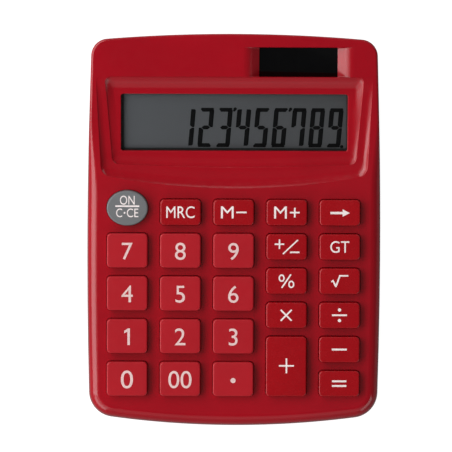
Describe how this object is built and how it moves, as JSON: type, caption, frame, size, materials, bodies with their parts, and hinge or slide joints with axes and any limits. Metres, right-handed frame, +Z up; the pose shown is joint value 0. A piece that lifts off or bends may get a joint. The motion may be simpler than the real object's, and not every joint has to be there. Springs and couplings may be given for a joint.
{
  "type": "pocket calculator",
  "caption": "Solar and battery calculator in a wedge-shaped red case: a sloping display hood over rows of square digit and function keys, with a hinged battery door underneath.",
  "frame": {"origin": "on the table under the middle of the case's plan, at the undersides of the rubber feet", "axes": "+X to the user's right, +Y from the user towards the display end, +Z up from the table"},
  "size_m": [0.1018, 0.136, 0.0291],
  "materials": {
    "case_red": "satin gloss",
    "digit_key_red": "satin",
    "function_key_red": "satin gloss",
    "clear_key_grey": "satin",
    "lens_clear": "clear",
    "lcd_grey": "satin",
    "gasket_black": "matte",
    "reflector_silver": "pearl",
    "ribbon_amber": "satin",
    "sheet_grey": "matte",
    "board_brown": "satin",
    "epoxy_black": "glossy",
    "can_blue": "sleeved",
    "solar_black": "glossy",
    "steel": "bright",
    "nickel": "nickel plated",
    "foot_rubber": "matte",
    "wire_red": "satin",
    "wire_black": "satin"
  },
  "bodies": {
    "case": {"front_shell": "case_red", "back_shell": "case_red", "display_lens": "lens_clear", "lcd_gasket": "gasket_black", "lcd_cell": "lcd_grey", "lcd_reflector": "reflector_silver", "lcd_ribbon": "ribbon_amber", "solar_cell": "solar_black", "keypad_sheet": "sheet_grey", "circuit_board": "board_brown", "chip_epoxy": "epoxy_black", "capacitor": "can_blue", "button_cell": "steel", "battery_contact_plus": "nickel", "battery_contact_minus": "nickel", "solar_wire_red": "wire_red", "solar_wire_black": "wire_black", "battery_wire_red": "wire_red", "battery_wire_black": "wire_black", "case_screw_1": "steel", "case_screw_2": "steel", "case_screw_3": "steel", "case_screw_4": "steel", "case_screw_5": "steel", "case_screw_6": "steel", "board_screw_1": "steel", "board_screw_2": "steel", "board_screw_3": "steel", "board_screw_4": "steel", "rubber_foot_1": "foot_rubber", "rubber_foot_2": "foot_rubber", "rubber_foot_3": "foot_rubber", "rubber_foot_4": "foot_rubber"},
    "key_on_clear": {"key_on_clear": "clear_key_grey"},
    "key_memory_recall": {"key_memory_recall": "function_key_red"},
    "key_memory_minus": {"key_memory_minus": "function_key_red"},
    "key_memory_plus": {"key_memory_plus": "function_key_red"},
    "key_backspace": {"key_backspace": "function_key_red"},
    "key_7": {"key_7": "digit_key_red"},
    "key_8": {"key_8": "digit_key_red"},
    "key_9": {"key_9": "digit_key_red"},
    "key_sign": {"key_sign": "function_key_red"},
    "key_grand_total": {"key_grand_total": "function_key_red"},
    "key_4": {"key_4": "digit_key_red"},
    "key_5": {"key_5": "digit_key_red"},
    "key_6": {"key_6": "digit_key_red"},
    "key_percent": {"key_percent": "function_key_red"},
    "key_root": {"key_root": "function_key_red"},
    "key_1": {"key_1": "digit_key_red"},
    "key_2": {"key_2": "digit_key_red"},
    "key_3": {"key_3": "digit_key_red"},
    "key_multiply": {"key_multiply": "function_key_red"},
    "key_divide": {"key_divide": "function_key_red"},
    "key_0": {"key_0": "digit_key_red"},
    "key_00": {"key_00": "digit_key_red"},
    "key_point": {"key_point": "digit_key_red"},
    "key_plus": {"key_plus": "function_key_red"},
    "key_minus": {"key_minus": "function_key_red"},
    "key_equals": {"key_equals": "function_key_red"},
    "battery_door": {"battery_door": "case_red"}
  },
  "joints": [
    {"name": "press_on_clear", "type": "slide", "parent": "case", "child": "key_on_clear", "axis": [0, 0.0785, -0.9969], "range_m": [0, 0.0015], "stiffness_N_per_m": 250, "springref_m": -0.0008, "deforming": ["keypad_sheet"]},
    {"name": "press_memory_recall", "type": "slide", "parent": "case", "child": "key_memory_recall", "axis": [0, 0.0785, -0.9969], "range_m": [0, 0.0015], "stiffness_N_per_m": 250, "springref_m": -0.0008, "deforming": ["keypad_sheet"]},
    {"name": "press_memory_minus", "type": "slide", "parent": "case", "child": "key_memory_minus", "axis": [0, 0.0785, -0.9969], "range_m": [0, 0.0015], "stiffness_N_per_m": 250, "springref_m": -0.0008, "deforming": ["keypad_sheet"]},
    {"name": "press_memory_plus", "type": "slide", "parent": "case", "child": "key_memory_plus", "axis": [0, 0.0785, -0.9969], "range_m": [0, 0.0015], "stiffness_N_per_m": 250, "springref_m": -0.0008, "deforming": ["keypad_sheet"]},
    {"name": "press_backspace", "type": "slide", "parent": "case", "child": "key_backspace", "axis": [0, 0.0785, -0.9969], "range_m": [0, 0.0015], "stiffness_N_per_m": 250, "springref_m": -0.0008, "deforming": ["keypad_sheet"]},
    {"name": "press_7", "type": "slide", "parent": "case", "child": "key_7", "axis": [0, 0.0785, -0.9969], "range_m": [0, 0.0015], "stiffness_N_per_m": 250, "springref_m": -0.0008, "deforming": ["keypad_sheet"]},
    {"name": "press_8", "type": "slide", "parent": "case", "child": "key_8", "axis": [0, 0.0785, -0.9969], "range_m": [0, 0.0015], "stiffness_N_per_m": 250, "springref_m": -0.0008, "deforming": ["keypad_sheet"]},
    {"name": "press_9", "type": "slide", "parent": "case", "child": "key_9", "axis": [0, 0.0785, -0.9969], "range_m": [0, 0.0015], "stiffness_N_per_m": 250, "springref_m": -0.0008, "deforming": ["keypad_sheet"]},
    {"name": "press_sign", "type": "slide", "parent": "case", "child": "key_sign", "axis": [0, 0.0785, -0.9969], "range_m": [0, 0.0015], "stiffness_N_per_m": 250, "springref_m": -0.0008, "deforming": ["keypad_sheet"]},
    {"name": "press_grand_total", "type": "slide", "parent": "case", "child": "key_grand_total", "axis": [0, 0.0785, -0.9969], "range_m": [0, 0.0015], "stiffness_N_per_m": 250, "springref_m": -0.0008, "deforming": ["keypad_sheet"]},
    {"name": "press_4", "type": "slide", "parent": "case", "child": "key_4", "axis": [0, 0.0785, -0.9969], "range_m": [0, 0.0015], "stiffness_N_per_m": 250, "springref_m": -0.0008, "deforming": ["keypad_sheet"]},
    {"name": "press_5", "type": "slide", "parent": "case", "child": "key_5", "axis": [0, 0.0785, -0.9969], "range_m": [0, 0.0015], "stiffness_N_per_m": 250, "springref_m": -0.0008, "deforming": ["keypad_sheet"]},
    {"name": "press_6", "type": "slide", "parent": "case", "child": "key_6", "axis": [0, 0.0785, -0.9969], "range_m": [0, 0.0015], "stiffness_N_per_m": 250, "springref_m": -0.0008, "deforming": ["keypad_sheet"]},
    {"name": "press_percent", "type": "slide", "parent": "case", "child": "key_percent", "axis": [0, 0.0785, -0.9969], "range_m": [0, 0.0015], "stiffness_N_per_m": 250, "springref_m": -0.0008, "deforming": ["keypad_sheet"]},
    {"name": "press_root", "type": "slide", "parent": "case", "child": "key_root", "axis": [0, 0.0785, -0.9969], "range_m": [0, 0.0015], "stiffness_N_per_m": 250, "springref_m": -0.0008, "deforming": ["keypad_sheet"]},
    {"name": "press_1", "type": "slide", "parent": "case", "child": "key_1", "axis": [0, 0.0785, -0.9969], "range_m": [0, 0.0015], "stiffness_N_per_m": 250, "springref_m": -0.0008, "deforming": ["keypad_sheet"]},
    {"name": "press_2", "type": "slide", "parent": "case", "child": "key_2", "axis": [0, 0.0785, -0.9969], "range_m": [0, 0.0015], "stiffness_N_per_m": 250, "springref_m": -0.0008, "deforming": ["keypad_sheet"]},
    {"name": "press_3", "type": "slide", "parent": "case", "child": "key_3", "axis": [0, 0.0785, -0.9969], "range_m": [0, 0.0015], "stiffness_N_per_m": 250, "springref_m": -0.0008, "deforming": ["keypad_sheet"]},
    {"name": "press_multiply", "type": "slide", "parent": "case", "child": "key_multiply", "axis": [0, 0.0785, -0.9969], "range_m": [0, 0.0015], "stiffness_N_per_m": 250, "springref_m": -0.0008, "deforming": ["keypad_sheet"]},
    {"name": "press_divide", "type": "slide", "parent": "case", "child": "key_divide", "axis": [0, 0.0785, -0.9969], "range_m": [0, 0.0015], "stiffness_N_per_m": 250, "springref_m": -0.0008, "deforming": ["keypad_sheet"]},
    {"name": "press_0", "type": "slide", "parent": "case", "child": "key_0", "axis": [0, 0.0785, -0.9969], "range_m": [0, 0.0015], "stiffness_N_per_m": 250, "springref_m": -0.0008, "deforming": ["keypad_sheet"]},
    {"name": "press_00", "type": "slide", "parent": "case", "child": "key_00", "axis": [0, 0.0785, -0.9969], "range_m": [0, 0.0015], "stiffness_N_per_m": 250, "springref_m": -0.0008, "deforming": ["keypad_sheet"]},
    {"name": "press_point", "type": "slide", "parent": "case", "child": "key_point", "axis": [0, 0.0785, -0.9969], "range_m": [0, 0.0015], "stiffness_N_per_m": 250, "springref_m": -0.0008, "deforming": ["keypad_sheet"]},
    {"name": "press_plus", "type": "slide", "parent": "case", "child": "key_plus", "axis": [0, 0.0785, -0.9969], "range_m": [0, 0.0015], "stiffness_N_per_m": 250, "springref_m": -0.0008, "deforming": ["keypad_sheet"]},
    {"name": "press_minus", "type": "slide", "parent": "case", "child": "key_minus", "axis": [0, 0.0785, -0.9969], "range_m": [0, 0.0015], "stiffness_N_per_m": 250, "springref_m": -0.0008, "deforming": ["keypad_sheet"]},
    {"name": "press_equals", "type": "slide", "parent": "case", "child": "key_equals", "axis": [0, 0.0785, -0.9969], "range_m": [0, 0.0015], "stiffness_N_per_m": 250, "springref_m": -0.0008, "deforming": ["keypad_sheet"]},
    {"name": "battery_door_hinge", "type": "hinge", "parent": "case", "child": "battery_door", "pos_m": [0, 0.0363, 0.001], "axis": [-1, 0, 0], "range_deg": [0, 80]}
  ]
}
